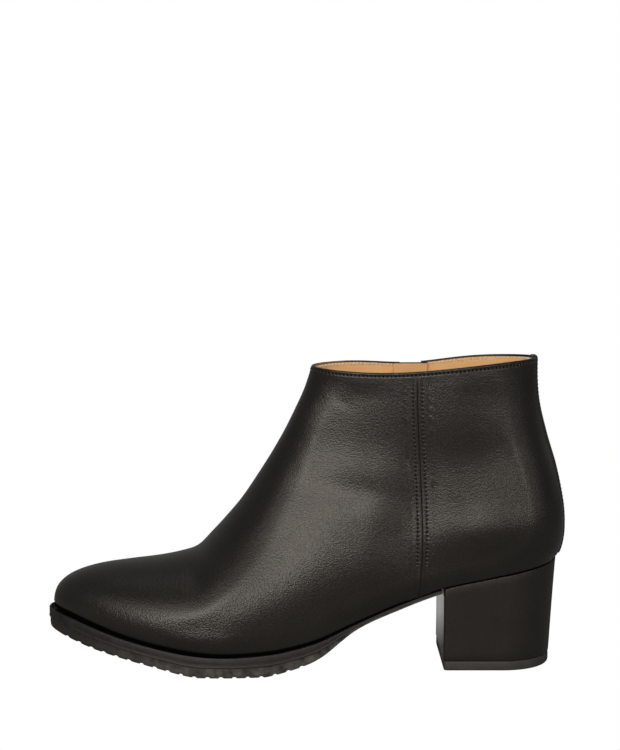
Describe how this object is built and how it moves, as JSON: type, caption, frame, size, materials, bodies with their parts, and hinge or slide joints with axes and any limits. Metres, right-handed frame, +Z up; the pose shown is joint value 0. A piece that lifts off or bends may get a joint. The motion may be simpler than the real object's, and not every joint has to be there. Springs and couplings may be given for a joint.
{
  "type": "ankle boot",
  "caption": "Left ankle boot with a smooth leather upper, inside zip with pull tab, lugged rubber sole and a covered block heel; stands on its sole, open at the collar for the foot.",
  "frame": {"origin": "middle of the boot's bounding box, on the floor under the sole", "axes": "+X towards the toe, +Y towards the outer side of the foot, +Z up"},
  "size_m": [0.2651, 0.0836, 0.1562],
  "materials": {
    "black_leather": "smooth black leather with a fine pebbled grain and a soft satin gloss",
    "sole_rubber": "matte dark grey moulded rubber",
    "tan_lining": "plain tan lining leather, matte",
    "zip_cloth": "black woven zip tape with a black coil",
    "zip_metal": "dark gunmetal plating, softly polished"
  },
  "bodies": {
    "boot": {"upper": "black_leather", "outsole": "sole_rubber", "insole": "tan_lining", "heel": "black_leather", "heel_top_piece": "sole_rubber", "backstay": "black_leather", "zip": "zip_cloth", "zip_flap": "tan_lining", "zip_slider": "zip_metal"},
    "pull": {"zip_pull": "zip_metal"}
  },
  "joints": [
    {"name": "zip_pull_hinge", "type": "hinge", "parent": "boot", "child": "pull", "pos_m": [-0.05349, -0.02762, 0.14014], "axis": [-0.9957, -0.0898, 0.0225], "range_deg": [0, 150]}
  ]
}
